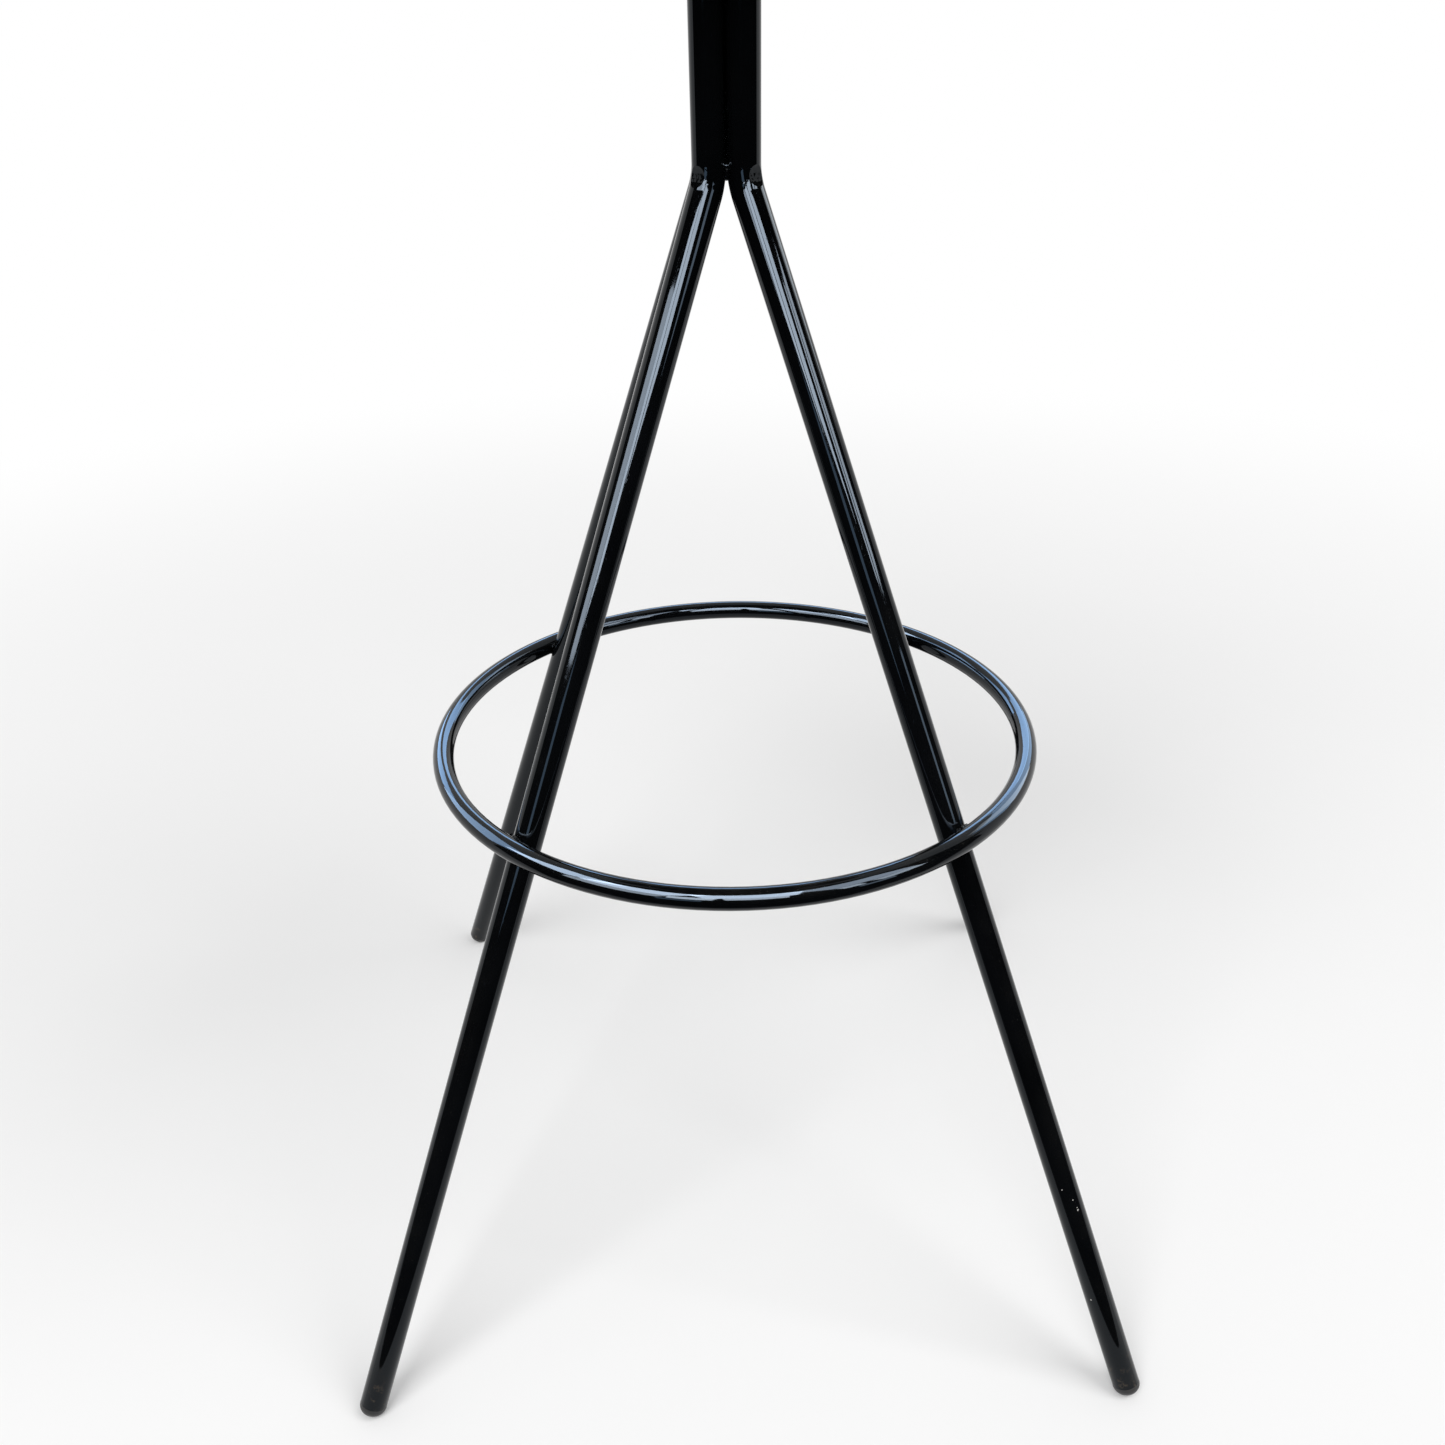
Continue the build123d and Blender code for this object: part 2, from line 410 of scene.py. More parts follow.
def enamelMaterial(name, look, chips=()):
    material, tree, shader, place = newMaterial(name)
    cloud = patches(tree, place, look["cloud"], look["cloudEdge"])
    colour = mixColour(tree, cloud, look["black"], look["thin"])
    colour, dust = dusty(tree, place, colour, look)
    axes = addNode(tree, "SeparateXYZ", Vector=place)
    lowDown = rangeNode(tree, axes.outputs["Z"], *look["dirtFade"], 1.0, 0.0)
    caked = patches(tree, place, look["caked"], look["cakedEdge"])
    dirt = times(tree, times(tree, lowDown, caked), look["dirtAmount"])
    colour = mixColour(tree, dirt, colour, look["dirt"])
    rubs = useGroup(tree, handling, Vector=place, Smears=look["smears"], Rubs=look["rubs"])
    rough = plus(tree, rubs, look["gloss"])
    rough = plus(tree, rough, times(tree, plus(tree, dust, dirt), look["dirtDull"]), True)
    for spot, size in chips:
        chip = useGroup(tree, chippedSpot, Vector=place, Place=spot, Size=size)
        colour = mixColour(tree, chip, colour, look["primer"])
        rough = plus(tree, rough, times(tree, chip, look["chipDull"]), True)
    # the Specular Tint paints a sky-blue colour into the reflections
    setShader(tree, shader, colour, rough, IOR=look["ior"], Specular_Tint=look["sheen"])
    # small creases where the insides of the bends were crushed
    flat = addNode(tree, "CombineXYZ", X=axes.outputs["X"], Y=axes.outputs["Y"])
    out = vectorNode(tree, "LENGTH", flat.outputs["Vector"])
    crushed = rangeNode(tree, out.outputs["Value"], *look["creaseOut"])
    for band in look["creaseUp"]:
        crushed = times(tree, crushed, rangeNode(tree, axes.outputs["Z"], *band))
    creases = times(tree, noiseNode(tree, place, *look["crease"]), crushed)
    creases = times(tree, creases, look["creaseDepth"])
    height = useGroup(tree, orangePeel, Vector=place, Size=look["peelSize"], Fine=look["peelFine"])
    bumpInto(tree, shader, plus(tree, height, creases), *look["bump"])
    return material


plugLook = {
    "black": (0.011, 0.011, 0.012, 1.0),
    "scuffed": (0.085, 0.078, 0.066, 1.0),
    "dust": (0.2, 0.18, 0.15, 1.0),
    "film": 0.25,
    "specks": 0.5,
    "grain": (1800.0, 3.0, 0.6),
    "rough": (0.3, 0.7, 0.32, 0.48),  # from grain to roughness
    "scuffs": (160.0, 5.0, 0.7),
    "scuffEdge": (0.5, 0.75),
    "scuffFade": (0.0015, 0.006),  # heights between which the wear thins out
    "scuffAll": 0.25,
    "scuffDull": 0.3,
    "ior": 1.49,
    "bump": (0.25, 0.0002),
}


def plugMaterial(look):
    material, tree, shader, place = newMaterial("footPlastic")
    grain = noiseNode(tree, place, *look["grain"])
    scuff = patches(tree, place, look["scuffs"], look["scuffEdge"])
    axes = addNode(tree, "SeparateXYZ", Vector=place)
    lowDown = rangeNode(tree, axes.outputs["Z"], *look["scuffFade"], 1.0, 0.0)
    worn = times(tree, plus(tree, lowDown, look["scuffAll"]), scuff, True)
    colour = mixColour(tree, worn, look["black"], look["scuffed"])
    colour = dusty(tree, place, colour, look)[0]
    rough = rangeNode(tree, grain, *look["rough"])
    rough = plus(tree, rough, times(tree, worn, look["scuffDull"]), True)
    setShader(tree, shader, colour, rough, IOR=look["ior"])
    bumpInto(tree, shader, grain, *look["bump"])
    return material


zincLook = {
    "dull": (0.46, 0.45, 0.42, 1.0),
    "bright": (0.66, 0.66, 0.64, 1.0),
    "yellowed": (0.42, 0.36, 0.24, 1.0),
    "yellowEdge": (0.6, 0.75),
    "cloud": (240.0, 4.0, 0.6),
    "flakes": 700.0,
    "rough": (0.0, 0.8, 0.24, 0.42),
    "bump": (0.15, 0.0002),
}


def zincMaterial(look):
    material, tree, shader, place = newMaterial("zincPlate")
    flakes = addNode(tree, "TexVoronoi", Vector=place, Scale=look["flakes"])
    cloud = noiseNode(tree, place, *look["cloud"])
    colour = mixColour(tree, cloud, look["dull"], look["bright"])
    colour = mixColour(tree, rangeNode(tree, cloud, *look["yellowEdge"]), colour, look["yellowed"])
    rough = rangeNode(tree, flakes.outputs["Distance"], *look["rough"])
    setShader(tree, shader, colour, rough, Metallic=1.0)
    bumpInto(tree, shader, cloud, *look["bump"])
    return material


plywoodLook = {
    "dark": (0.33, 0.2, 0.1, 1.0),
    "light": (0.62, 0.44, 0.26, 1.0),
    "veneers": 0.0034,  # height of two veneers
    "glueLine": 0.15,
    "along": 6.0,
    "across": 260.0,
    "grain": (1.0, 5.0, 0.6),
    "rough": (0.2, 0.8, 0.75, 0.55),
    "bump": (0.3, 0.0004),
}


def plywoodMaterial(look):
    # thin veneers stacked along Z, with grain along X and along Y in turn
    material, tree, shader, place = newMaterial("plywood")
    along, across = look["along"], look["across"]
    grains = []
    for stretch in ((along, across, across), (across, along, across)):
        stretched = addNode(tree, "Mapping", Vector=place, Scale=stretch)
        grains.append(noiseNode(tree, stretched.outputs["Vector"], *look["grain"]))
    axes = addNode(tree, "SeparateXYZ", Vector=place)
    layer = mathNode(tree, "SINE", times(tree, axes.outputs["Z"], 2 * pi / look["veneers"]))
    which = rangeNode(tree, layer, -look["glueLine"], look["glueLine"])
    mixed = tree.nodes.new("ShaderNodeMix")
    for socket, value in zip((0, 2, 3), (which, *grains)):
        tree.links.new(value, mixed.inputs[socket])
    grain = mixed.outputs[0]
    colour = mixColour(tree, grain, look["dark"], look["light"])
    setShader(tree, shader, colour, rangeNode(tree, grain, *look["rough"]))
    bumpInto(tree, shader, grain, *look["bump"])
    return material


vinylLook = {
    "black": (0.0095, 0.009, 0.009, 1.0),
    "worn": (0.017, 0.016, 0.0155, 1.0),
    # painted shade: the colour that darkens the creases between the pebbles
    "crease": (0.005, 0.005, 0.005, 1.0),
    "dust": (0.2, 0.19, 0.17, 1.0),
    "film": 0.03,
    "specks": 0.12,
    "warp": 90.0,
    "warpDetail": 3.0,
    "warpBy": (0.004, 0.004, 0.004),
    "pebbles": 620.0,
    "creaseEdge": (0.0, 0.16),
    "cloud": (14.0, 5.0, 0.6),
    "cloudEdge": (0.3, 0.75),
    "rough": (0.0, 1.0, 0.62, 0.4),  # from crease to roughness
    "cloudDull": 0.08,
    "coat": 0.12,
    "coatRough": 0.3,
    "fine": (2600.0, 2.0, 0.5),
    "fineHeight": 0.25,
    "bump": (0.45, 0.00035),
}


def vinylMaterial(look):
    # pressed leather grain: small pebbles with creases between them, the creases darkened by painted shade
    material, tree, shader, place = newMaterial("seatVinyl")
    warp = addNode(tree, "TexNoise", Vector=place, Scale=look["warp"], Detail=look["warpDetail"])
    push = vectorNode(tree, "MULTIPLY_ADD", warp.outputs["Color"], look["warpBy"], place)
    pebbles = addNode(tree, "TexVoronoi", Vector=push.outputs["Vector"], Scale=look["pebbles"])
    pebbles.feature = "DISTANCE_TO_EDGE"
    crease = rangeNode(tree, pebbles.outputs["Distance"], *look["creaseEdge"])
    cloud = patches(tree, place, look["cloud"], look["cloudEdge"])
    colour = mixColour(tree, cloud, look["black"], look["worn"])
    # painted shade: the creases are coloured darker
    colour = mixColour(tree, crease, look["crease"], colour)
    colour = dusty(tree, place, colour, look)[0]
    rough = rangeNode(tree, crease, *look["rough"])
    rough = plus(tree, rough, times(tree, cloud, look["cloudDull"]), True)
    setShader(tree, shader, colour, rough, Coat_Weight=look["coat"], Coat_Roughness=look["coatRough"])
    fine = times(tree, noiseNode(tree, place, *look["fine"]), look["fineHeight"])
    bumpInto(tree, shader, plus(tree, crease, fine), *look["bump"])
    return material


threadLook = {
    # painted shade: dark and light bands along the twist, standing in for the shading of the plies
    "dark": (0.03, 0.03, 0.03, 1.0),
    "light": (0.11, 0.11, 0.11, 1.0),
    "twist": 900.0,
    "uneven": 2.0,
    "rough": 0.7,
    "sheen": 0.3,
    "bump": (0.4, 0.0001),
}


def threadMaterial(look):
    material, tree, shader, place = newMaterial("sewingThread")
    wave = addNode(tree, "TexWave", Vector=place, Scale=look["twist"], Distortion=look["uneven"])
    twist = wave.outputs["Fac"]
    # painted shade: the colour alternates along the twist as the plies would be shaded
    colour = mixColour(tree, twist, look["dark"], look["light"])
    setShader(tree, shader, colour, look["rough"], Sheen_Weight=look["sheen"])
    bumpInto(tree, shader, twist, *look["bump"])
    return material


dustClothLook = {
    "dark": (0.008, 0.008, 0.008, 1.0),
    "light": (0.036, 0.035, 0.034, 1.0),
    # stretch and turn of the fibres, one row for each way they lie
    "fibres": (((900.0, 120.0, 900.0), (0.0, 0.0, 0.6)), ((120.0, 900.0, 900.0), (0.0, 0.0, 0.3))),
    "fibre": (1.0, 3.0, 0.6),
    "fibreEdge": (0.45, 0.75),
    "dimples": 420.0,
    "dimpleStray": 0.15,
    "dimpleEdge": (0.12, 0.3),
    "dimpleHeight": 0.6,
    "rough": (0.0, 1.0, 0.7, 0.93),  # from dimple to roughness
    "sheen": 0.25,
    "sheenRough": 0.5,
    "bump": (0.5, 0.0003),
}


def dustClothMaterial(look):
    # pressed non-woven cloth: tangled fibres with a grid of bonded dimples
    material, tree, shader, place = newMaterial("dustCloth")
    ways = []
    for stretch, turn in look["fibres"]:
        laid = addNode(tree, "Mapping", Vector=place, Scale=stretch, Rotation=turn)
        ways.append(noiseNode(tree, laid.outputs["Vector"], *look["fibre"]))
    tuft = rangeNode(tree, mathNode(tree, "MAXIMUM", *ways), *look["fibreEdge"])
    dimples = addNode(tree, "TexVoronoi", Vector=place, Scale=look["dimples"],
                      Randomness=look["dimpleStray"])
    bond = rangeNode(tree, dimples.outputs["Distance"], *look["dimpleEdge"])
    colour = mixColour(tree, tuft, look["dark"], look["light"])
    setShader(tree, shader, colour, rangeNode(tree, bond, *look["rough"]),
              Sheen_Weight=look["sheen"], Sheen_Roughness=look["sheenRough"])
    height = plus(tree, times(tree, bond, look["dimpleHeight"]), tuft)
    bumpInto(tree, shader, height, *look["bump"])
    return material


foamLook = {
    "deep": (0.62, 0.55, 0.36, 1.0),
    "pale": (0.78, 0.72, 0.52, 1.0),
    # painted shade: the darker colour in the pits of the cells
    "pit": (0.4, 0.34, 0.2, 1.0),
    "tone": (30.0, 4.0, 0.6),
    "cells": 900.0,
    "cellEdge": (0.0, 0.5),
    "rough": 0.95,
    "bump": (0.5, 0.0005),
}


def foamMaterial(look):
    material, tree, shader, place = newMaterial("seatFoam")
    cells = addNode(tree, "TexVoronoi", Vector=place, Scale=look["cells"]).outputs["Distance"]
    colour = mixColour(tree, noiseNode(tree, place, *look["tone"]), look["deep"], look["pale"])
    # painted shade: the cells' pits are coloured darker
    colour = mixColour(tree, rangeNode(tree, cells, *look["cellEdge"]), look["pit"], colour)
    setShader(tree, shader, colour, look["rough"])
    bumpInto(tree, shader, cells, *look["bump"])
    return material


# chips in the coat of the front right leg, where shoes have knocked it: place and size
legChips = [
    ((0.1793, -0.1889, 0.1378), 0.0007),
    ((0.1858, -0.1912, 0.1317), 0.0006),
    ((0.1892, -0.1931, 0.1252), 0.0009),
    ((0.1886, -0.1928, 0.1268), 0.0006),
    ((0.2005, -0.2117, 0.0674), 0.0008),
]

enamel = enamelMaterial("enamel", enamelLook)
chippedEnamel = enamelMaterial("enamelChipped", enamelLook, legChips)
footPlastic = plugMaterial(plugLook)
zincPlate = zincMaterial(zincLook)
plywood = plywoodMaterial(plywoodLook)
seatVinyl = vinylMaterial(vinylLook)
sewingThread = threadMaterial(threadLook)
dustCloth = dustClothMaterial(dustClothLook)
seatFoam = foamMaterial(foamLook)
print("materials made")

# how a node's name starts and its finish; a later line wins
nodeFinish = {"leg_": enamel, "foot_ring": enamel, "ring_weld_": enamel, "crotch_weld_": enamel,
              "plate_weld": enamel, "seat_plate": enamel, "plug_": footPlastic,
              "seat_screws": zincPlate, "seat_washers": zincPlate, "seat_board": plywood,
              "leg_front_right": chippedEnamel}

for nodeName, node in nodes.items():
    for start, material in nodeFinish.items():
        if nodeName.startswith(start):
            node.data.materials.clear()
            node.data.materials.append(material)
print("frame finished")

# crotch puddles: a small lumpy bead where neighbouring tubes part

puddleShape = {
    "out": 0.0118,  # from the column's middle
    "height": 0.6362,
    # across, inward, up and radius of each blob
    "blobs": ((-0.0022, 0.0, 0.0008, 0.0015), (0.0001, -0.0004, -0.0002, 0.0018),
              (0.0022, 0.0001, 0.0011, 0.0014), (0.0, 0.0022, 0.0002, 0.0026),
              (0.0002, 0.0016, -0.0028, 0.0019), (-0.0001, 0.0019, -0.0047, 0.0018)),
    "voxel": 0.0004,
    "melt": 2,  # rounds of smoothing
}


def crotchPuddle(side, turn):
    blobs = []
    for across, inward, up, radius in puddleShape["blobs"]:
        blobs.append(fresh(
            bpy.ops.mesh.primitive_uv_sphere_add, "puddleBlob", segments=16, ring_count=10, radius=radius,
            location=(across, -puddleShape["out"] + inward, puddleShape["height"] + up)))
    puddle = joinAll(blobs, "crotchPuddle_" + side)
    applyModifier(puddle, "REMESH", mode="VOXEL", voxel_size=puddleShape["voxel"])
    applyModifier(puddle, "SMOOTH", factor=0.5, iterations=puddleShape["melt"])
    puddle.data.transform(Matrix.Rotation(radians(turn), 4, "Z"))
    smooth(puddle)
    finish(puddle, enamel)
    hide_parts("crotch_weld_" + side)


for side, turn in (("front", 0), ("right", 90), ("rear", 180), ("left", 270)):
    crotchPuddle(side, turn)
print("crotch puddles shaped")

# ring beads: the welds between ring and legs, drawn in close to where they touch

ringBeadShape = {
    "touch": 0.166,  # radius at which ring and leg touch
    "height": 0.338,
    "size": 0.56,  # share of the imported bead's size
    "melt": 4,
}

for nodeName in [name for name in nodes if name.startswith("ring_weld_")]:
    ringBead = copyOf(nodes[nodeName], nodeName.replace("ring_weld_", "ringBead_"))
    facesOutward(ringBead)
    spots = [spot.co.copy() for spot in ringBead.data.vertices]
    middle = sum(spots, Vector()) / len(spots)
    touch = Vector((middle.x, middle.y, 0)).normalized() * ringBeadShape["touch"]
    touch.z = ringBeadShape["height"]
    for spot in ringBead.data.vertices:
        spot.co = touch + (spot.co - touch) * ringBeadShape["size"]
    applyModifier(ringBead, "SMOOTH", factor=0.5, iterations=ringBeadShape["melt"])
    smooth(ringBead)
    finish(ringBead, enamel)
    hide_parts(nodeName)
print("ring beads drawn in")

# seat cushion: a foam disc that fills its cover

cushionSize = {
    "radius": 0.1655,  # of the blank before it fills out
    "bottom": 0.7375,
    "top": 0.769,
    "edge": 0.012,
    "edgeSteps": 6,
    "crown": 0.004,
    "crownRings": 5,
    "ringWide": 0.024,
    "voxel": 0.005,
    "pressure": 4.0,
    "cap": 0.0015,  # how far a point may move as it fills
    "frames": 20,
}


def cushionBlank():
    tall = cushionSize["top"] - cushionSize["bottom"]
    blank = fresh(
        bpy.ops.mesh.primitive_cylinder_add, "seatCushion", vertices=96, radius=cushionSize["radius"],
        depth=tall, location=(0, 0, cushionSize["bottom"] + tall / 2))
    topLine = cushionSize["top"] - 0.0001
    pickEdges(blank, lambda a, b: a.z > topLine and b.z > topLine)
    bpy.ops.mesh.bevel(offset=cushionSize["edge"], segments=cushionSize["edgeSteps"])
    backToObject()
    # rings of the top, each lifted a little more towards the middle
    pickFaces(blank, lambda c, n: n.z > 0.99 and c.z > topLine)
    steps = range(cushionSize["crownRings"], 0, -1)
    for step in steps:
        bpy.ops.mesh.inset(thickness=cushionSize["ringWide"])
        bpy.ops.transform.translate(value=(0, 0, cushionSize["crown"] * step / sum(steps)))
    backToObject()
    return blank


swellCare = {"quality": 6, "mass": 0.4}


def swell(piece, pressure, cap, frames, held=None):
    # air pressure swells a piece; no point travels further than the cap
    before = [spot.co.copy() for spot in piece.data.vertices]
    pickOnly(piece)
    cloth = piece.modifiers.new("Cloth", "CLOTH")
    settings = cloth.settings
    settings.use_pressure = True
    settings.uniform_pressure_force = pressure
    settings.effector_weights.gravity = 0.0
    settings.quality = swellCare["quality"]
    settings.mass = swellCare["mass"]
    if held:
        settings.vertex_group_mass = held
    cloth.point_cache.frame_start = 1
    cloth.point_cache.frame_end = frames
    for step in range(1, frames + 1):
        bpy.context.scene.frame_set(step)
    bpy.ops.object.modifier_apply(modifier="Cloth")
    bpy.context.scene.frame_set(1)
    for spot, start in zip(piece.data.vertices, before):
        move = spot.co - start
        if move.length > cap:
            spot.co = start + move * (cap / move.length)
    piece.data.update()


seatCushion = cushionBlank()
applyModifier(seatCushion, "REMESH", mode="VOXEL", voxel_size=cushionSize["voxel"])
swell(seatCushion, cushionSize["pressure"], cushionSize["cap"], cushionSize["frames"])
for spot in seatCushion.data.vertices:
    spot.co.z = max(spot.co.z, cushionSize["bottom"])
applyModifier(seatCushion, "SUBSURF", levels=1, render_levels=1)
smooth(seatCushion)
finish(seatCushion, seatFoam)
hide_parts("seat_foam")
print("cushion filled")

# seat cover: a top panel sewn to a side band, pulled tight and turned in under the board

coverSize = {
    "segments": 200,
    "middle": 0.05,  # radius of the even patch in the middle of the top
    "rings": (0.062, 0.076, 0.09, 0.104, 0.118, 0.131, 0.142, 0.15, 0.156, 0.16),
    "seam": 0.1635,  # radius of the seam between top and band
    "seamHeight": 0.7708,
    "crown": 0.0052,  # rise of the middle over the seam before it fills
    "crownPower": 2.4,
    "round": (0.0012, 0.0028),  # inwards and upwards from the top of the side to the ring that rounds it
    "side": 0.1692,
    "sideTop": 0.7655,
    "sideRings": (0.7602, 0.7535, 0.7465, 0.7395, 0.733, 0.7278),
    "turnHeight": 0.7237,
    "turnRings": (0.1678, 0.1625, 0.155, 0.148, 0.141),
    "near": 0.0004,  # points this close to a held line are held
    "thick": 0.001,
    "pressure": 5.0,
    "cap": 0.0028,
    "frames": 20,
}


def ringOut(radius, height):
    # pulls a new ring of faces out of the selected rim
    bpy.ops.mesh.extrude_edges_move()
    backToObject()
    for spot in bpy.context.object.data.vertices:
        if spot.select:
            flat = hypot(spot.co.x, spot.co.y)
            spot.co = (spot.co.x * radius / flat, spot.co.y * radius / flat, height)
    editMode()


def crownAt(radius):
    share = radius / coverSize["seam"]
    return coverSize["seamHeight"] + coverSize["crown"] * (1 - share ** coverSize["crownPower"])


def coverBlank():
    cover = fresh(
        bpy.ops.mesh.primitive_circle_add, "seatCover",
        vertices=coverSize["segments"], radius=coverSize["middle"])
    pickOnly(cover)
    editMode()
    bpy.ops.mesh.select_all(action="SELECT")
    bpy.ops.mesh.fill_grid(span=coverSize["segments"] // 4)
    backToObject()
    for spot in cover.data.vertices:
        spot.co.z = crownAt(ringPlace(spot)[0])
    rim = coverSize["middle"] - 0.00001
    pickEdges(cover, lambda a, b: hypot(a.x, a.y) > rim and hypot(b.x, b.y) > rim)
    for radius in coverSize["rings"]:
        ringOut(radius, crownAt(radius))
    ringOut(coverSize["seam"], coverSize["seamHeight"])
    ringOut(coverSize["side"] - coverSize["round"][0], coverSize["sideTop"] + coverSize["round"][1])
    ringOut(coverSize["side"], coverSize["sideTop"])
    for height in coverSize["sideRings"]:
        ringOut(coverSize["side"], height)
    for radius in coverSize["turnRings"]:
        ringOut(radius, coverSize["turnHeight"])
    backToObject()
    facesOutward(cover)
    return cover


def holdRims(cover):
    # the seam and everything under the board stay where they are
    held = cover.vertex_groups.new(name="held")
    for spot in cover.data.vertices:
        radius = ringPlace(spot)[0]
        sewn = abs(radius - coverSize["seam"]) < coverSize["near"] and spot.co.z > coverSize["sideTop"]
        under = spot.co.z < coverSize["turnHeight"] + coverSize["near"]
        if sewn or under:
            held.add([spot.index], 1.0, "REPLACE")
    return held.name


def puckers(angle, waves):
    # uneven ripples round the seat, from a few waves that don't repeat together
    return sum(size * sin(count * angle + shift) for count, size, shift in waves) / len(waves)


# how many waves go round, how high they are against each other, and where they start
seamWaves = ((41, 1.0, 0.4), (57, 0.8, 2.1), (73, 0.6, 4.0), (29, 0.7, 5.2))
pullWaves = ((23, 1.0, 1.3), (37, 0.9, 3.4), (54, 0.7, 0.2), (11, 0.8, 2.6))

# heights of the small shapes in the vinyl, each with its reach or how fast it fades
vinylWork = {
    "topFrom": 0.001,  # below the top of the side
    "gather": (0.0009, 0.009),
    "dip": (0.0011, 0.0022),  # of the top beside the seam
    "sat": (0.0005, 0.12),
    "pull": (0.001, 1.6),
    "bulge": (0.0008, 3),  # of the side under the seam
    "fold": (0.0006, 0.01),  # of the turned-in edge
    "foldFrom": 0.168,
    "foldHigh": 0.0008,
    "foldGap": 0.002,
    "join": (0.0009, 0.0016),
    "joinFrom": 0.163,
}


def satOn(x, y):
    # slow hollows of use, from a few waves across the seat
    slow = sin(31 * x + 1.1) * sin(24 * y + 0.4)
    return slow + 0.4 * sin(57 * x - 44 * y)


def bumpAt(shape, distance, wave=1.0):
    # its full height at no distance, and gone beyond its reach
    height, reach = shape
    return height * wave * exp(-(distance / reach) ** 2)


def rippleAt(shape, wave, share):
    # its full height where the share is 1
    height, fade = shape
    return height * (0.5 + wave) * share ** fade


def workVinyl(cover):
    # small gathers at the seam, and pull marks that rise from the stapled edge
    low, work = coverSize["turnHeight"], vinylWork
    for spot in cover.data.vertices:
        radius, angle = ringPlace(spot)
        out = onRing(angle, 1, 0)
        if spot.co.z > coverSize["sideTop"] - work["topFrom"]:
            away = abs(radius - coverSize["seam"])
            spot.co.z += bumpAt(work["gather"], away, puckers(angle, seamWaves))
            spot.co.z -= bumpAt(work["dip"], away)
            spot.co.z += bumpAt(work["sat"], radius, satOn(spot.co.x, spot.co.y))
        else:
            high = (spot.co.z - low) / (coverSize["sideTop"] - low)
            spot.co += out * rippleAt(work["pull"], puckers(angle, pullWaves), 1 - high)
            spot.co += out * rippleAt(work["bulge"], puckers(angle, seamWaves), high)
            if spot.co.z < low + work["foldHigh"] and radius < coverSize["side"] - work["foldGap"]:
                fold, reach = work["fold"]
                inward = min(1.0, (work["foldFrom"] - radius) / reach)
                spot.co.z -= fold * (0.5 + puckers(angle, pullWaves)) * inward
        # the join of the side band, at the back
        if spot.co.z < coverSize["seamHeight"] and radius > work["joinFrom"]:
            aside = abs(spot.co.x) if spot.co.y > 0 else 1.0
            spot.co -= out * bumpAt(work["join"], aside)
    cover.data.update()


seatCover = coverBlank()
heldRims = holdRims(seatCover)
swell(seatCover, coverSize["pressure"], coverSize["cap"], coverSize["frames"], heldRims)
applyModifier(seatCover, "SUBSURF", levels=1, render_levels=1)
workVinyl(seatCover)
facesOutward(seatCover)
applyModifier(seatCover, "SOLIDIFY", thickness=coverSize["thick"], offset=-1.0, use_even_offset=True)
smooth(seatCover)
finish(seatCover, seatVinyl)
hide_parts("seat_cover")
print("cover sewn:", len(seatCover.data.polygons), "faces")

# welt: covered cord sewn into the seam, its ends lapped at the back

weltSize = {
    "radius": 0.1642,
    "height": 0.7712,
    "thick": 0.0021,
    "wave": 0.0006,
    "lap": 0.055,  # half the angle that the lapped ends take
    "lapThick": 0.28,
}

seatWelt = fresh(
    bpy.ops.mesh.primitive_torus_add, "seatWelt", major_segments=360, minor_segments=12,
    major_radius=weltSize["radius"], minor_radius=weltSize["thick"], location=(0, 0, weltSize["height"]))
for spot in seatWelt.data.vertices:
    angle = ringPlace(spot)[1]
    spot.co.z += weltSize["wave"] * puckers(angle, seamWaves)
    # the lapped ends make a short thicker place
    aside = (angle - pi / 2) / weltSize["lap"]
    core = onRing(angle, weltSize["radius"], weltSize["height"])
    spot.co = core + (spot.co - core) * (1 + weltSize["lapThick"] * exp(-aside ** 4))
smooth(seatWelt)
finish(seatWelt, seatVinyl)
print("welt laid")

# stitches on both sides of the welt and of the band's join

stitchSize = {
    "long": 0.0034,
    "wide": 0.00075,
    "high": 0.0006,
    "pitch": 0.0046,
    "topRow": 0.1572,  # radius of the row on the top panel
    "bandRow": 0.7608,  # height of the row on the side band
    "joinRow": 0.0042,  # from the band's join to the rows beside it
    "joinFrom": 0.732,
    "joinGap": 0.003,  # from the top of those rows to the row on the band
    "proud": 0.12,  # how far its middle is above the vinyl, as a share of its height
}


def layStitch(blank, spot, run, number):
    # a copy of the stitch, on the cover's surface at the spot, along the run
    place, face = seatCover.closest_point_on_mesh(spot)[1:3]
    across = run.cross(face).normalized()
    along = face.cross(across).normalized()
    stitch = copyOf(blank, f"stitch{number}")
    turn = Matrix((across, face, along)).transposed().to_4x4()
    onCover = Matrix.Translation(place + face * stitchSize["high"] * stitchSize["proud"])
    stitch.data.transform(onCover @ turn)
    return stitch


